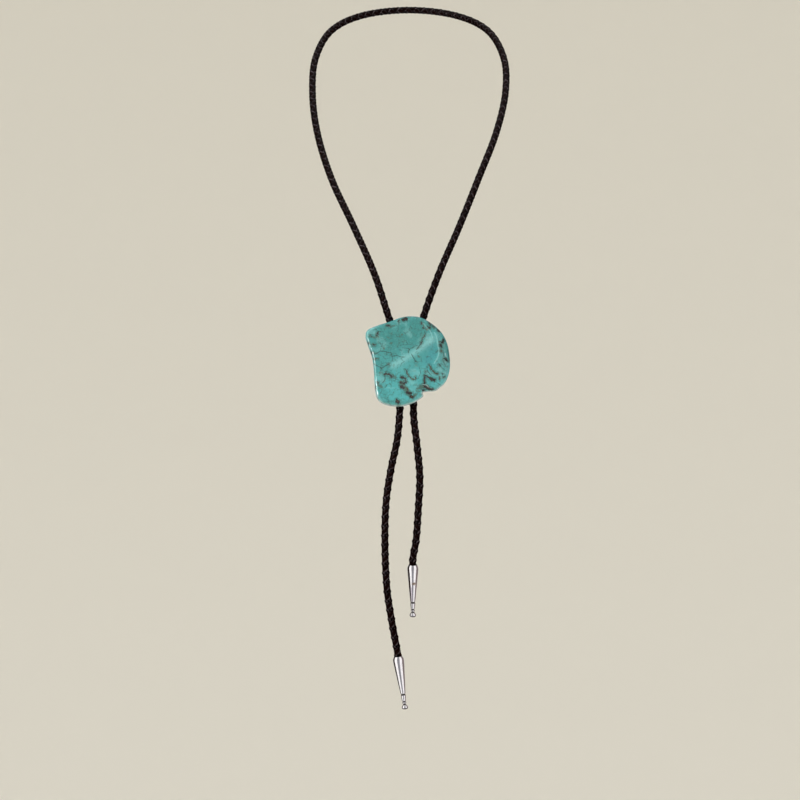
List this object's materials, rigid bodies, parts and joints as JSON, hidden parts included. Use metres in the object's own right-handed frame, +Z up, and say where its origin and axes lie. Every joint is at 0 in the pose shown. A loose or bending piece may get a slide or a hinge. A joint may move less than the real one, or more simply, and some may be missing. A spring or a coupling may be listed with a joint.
{
  "type": "bolo tie",
  "caption": "Bolo tie: a braided leather cord in a worn loop through a slide behind a polished turquoise slab, with a tapered metal tip on each tail.",
  "frame": {"origin": "where the cord lies on the nape, on the cord's inner side", "axes": "+Z up, -Y out of the stone's face towards the viewer, +X to the right of someone looking at the front"},
  "size_m": [0.1269, 0.1713, 0.4413],
  "materials": {
    "turquoise": "polished",
    "nickel": "satin",
    "leather_braid": "satin",
    "silver": "polished"
  },
  "bodies": {
    "root": {"stone": "turquoise", "slide": "nickel", "cord": "leather_braid", "tip_long_tail": "silver", "tip_short_tail": "silver"}
  },
  "joints": []
}
